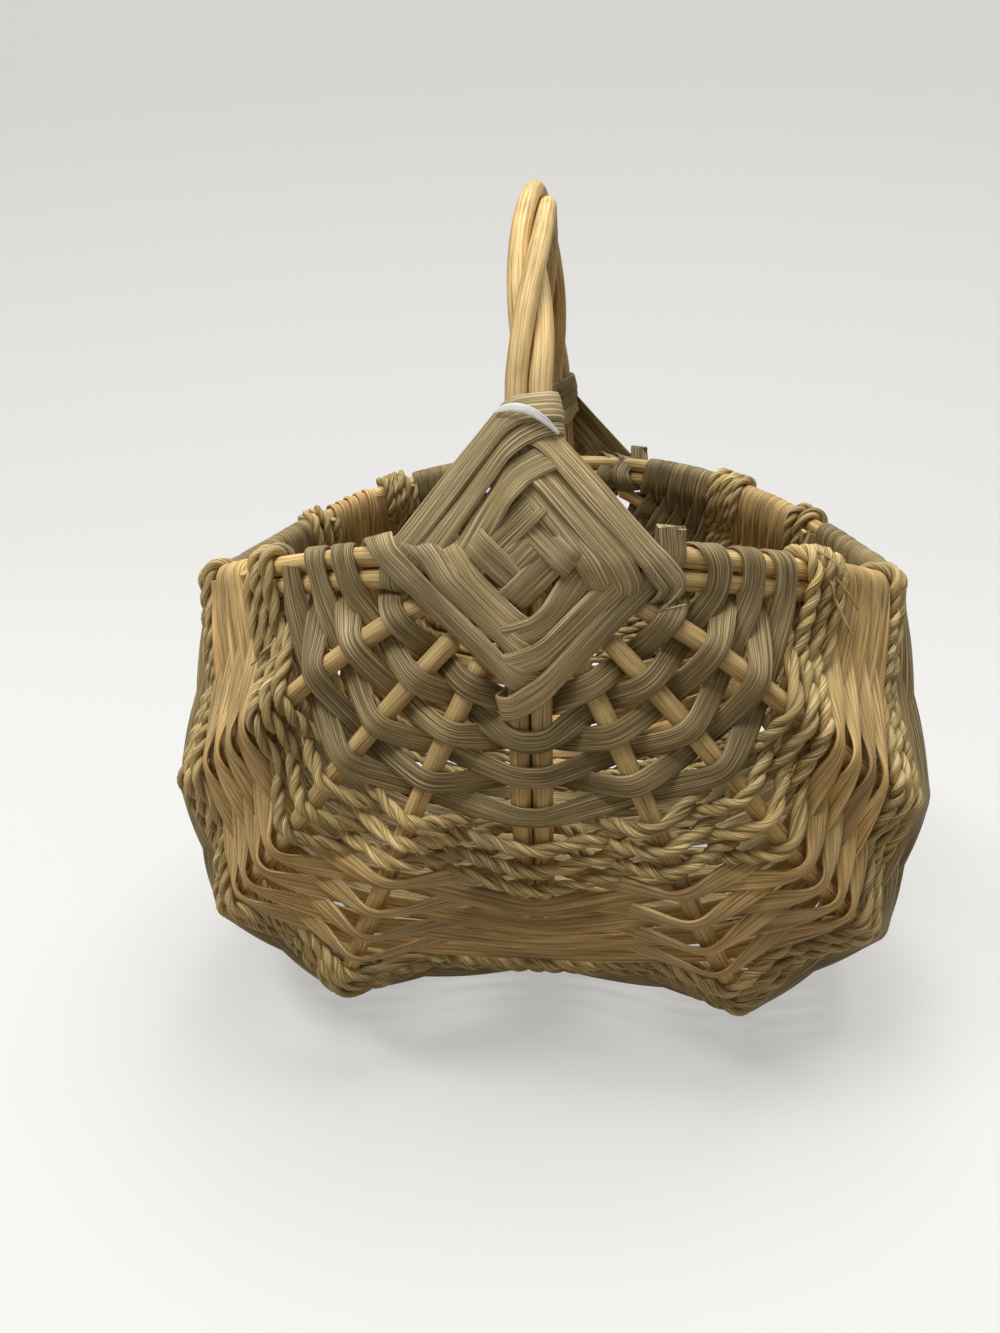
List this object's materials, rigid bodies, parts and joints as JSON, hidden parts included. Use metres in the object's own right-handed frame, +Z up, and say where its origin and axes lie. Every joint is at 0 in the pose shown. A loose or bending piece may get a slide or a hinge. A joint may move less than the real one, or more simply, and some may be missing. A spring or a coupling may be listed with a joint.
{
  "type": "split reed basket",
  "caption": "Round-bodied ribbed reed basket with a fixed twisted hoop handle, diamond lashings at the ears and woven bands of flat reed and seagrass cord.",
  "frame": {"origin": "middle of the basket on the surface that it stands on", "axes": "+X to the right seen from the near lashing, +Y from the near lashing to the far one under the handle, +Z up"},
  "size_m": [0.2362, 0.2208, 0.2471],
  "materials": {
    "handle_reed": "bare round rattan reed, satin, fine lengthwise grain",
    "rim_reed": "bare round rattan reed, satin",
    "rib_reed": "bare round rattan reed, satin",
    "smoked_reed": "flat reed stained smoky grey-brown, matte, streaked along the grain",
    "seagrass": "two-ply twisted seagrass cord, dry straw, matte with pale highlights",
    "tan_reed": "flat oval reed stained amber brown, satin",
    "pale_strip": "plain off-white strip, matte, blank"
  },
  "bodies": {
    "root": {"handle_reed_1": "handle_reed", "handle_reed_2": "handle_reed", "handle_reed_3": "handle_reed", "rim_reed_upper": "rim_reed", "rim_reed_lower": "rim_reed", "rib_left_upper": "rib_reed", "rib_left_middle": "rib_reed", "rib_left_lower": "rib_reed", "rib_right_upper": "rib_reed", "rib_right_middle": "rib_reed", "rib_right_lower": "rib_reed", "lashing_near": "smoked_reed", "lashing_far": "smoked_reed", "white_strip": "pale_strip", "smoked_weave_near": "smoked_reed", "smoked_weave_far": "smoked_reed", "seagrass_weave_near": "seagrass", "seagrass_weave_far": "seagrass", "tan_weave_near": "tan_reed", "tan_weave_far": "tan_reed", "inner_seagrass_weave_near": "seagrass", "inner_seagrass_weave_far": "seagrass", "smoked_middle_weave": "smoked_reed"}
  },
  "joints": []
}
